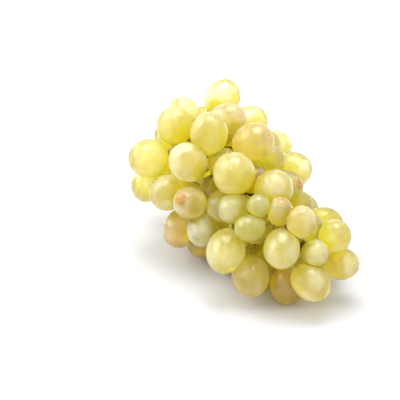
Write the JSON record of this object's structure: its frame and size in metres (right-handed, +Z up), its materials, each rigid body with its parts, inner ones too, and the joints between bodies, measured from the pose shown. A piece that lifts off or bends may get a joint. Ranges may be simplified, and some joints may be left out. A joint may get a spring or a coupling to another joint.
{
  "type": "bunch of grapes",
  "caption": "Bunch of pale green table grapes lying on its side: fused sprays of oval grapes held on a branching woody stalk.",
  "frame": {"origin": "centre of the bounding box's footprint, on the surface the bunch lies on", "axes": "+X from the cut stalk toward the bunch's tip, +Z up off the surface"},
  "size_m": [0.1541, 0.0996, 0.091],
  "materials": {
    "grape_skin": "satin, waxy bloom over translucent pale green flesh",
    "grape_stem": "matte, woody brown-green"
  },
  "bodies": {
    "root": {"stalk": "grape_stem", "grapes_left_shoulder": "grape_skin", "grapes_crown": "grape_skin", "grapes_upper_flank": "grape_skin", "grapes_flank": "grape_skin", "grapes_belly": "grape_skin", "grapes_right_shoulder": "grape_skin", "grapes_right_flank": "grape_skin", "grapes_middle": "grape_skin", "grapes_lower": "grape_skin", "grapes_end": "grape_skin", "grapes_rear": "grape_skin", "grapes_keel_rear": "grape_skin", "grapes_keel_front": "grape_skin", "grapes_off_rear": "grape_skin", "grapes_off_front": "grape_skin"}
  },
  "joints": []
}
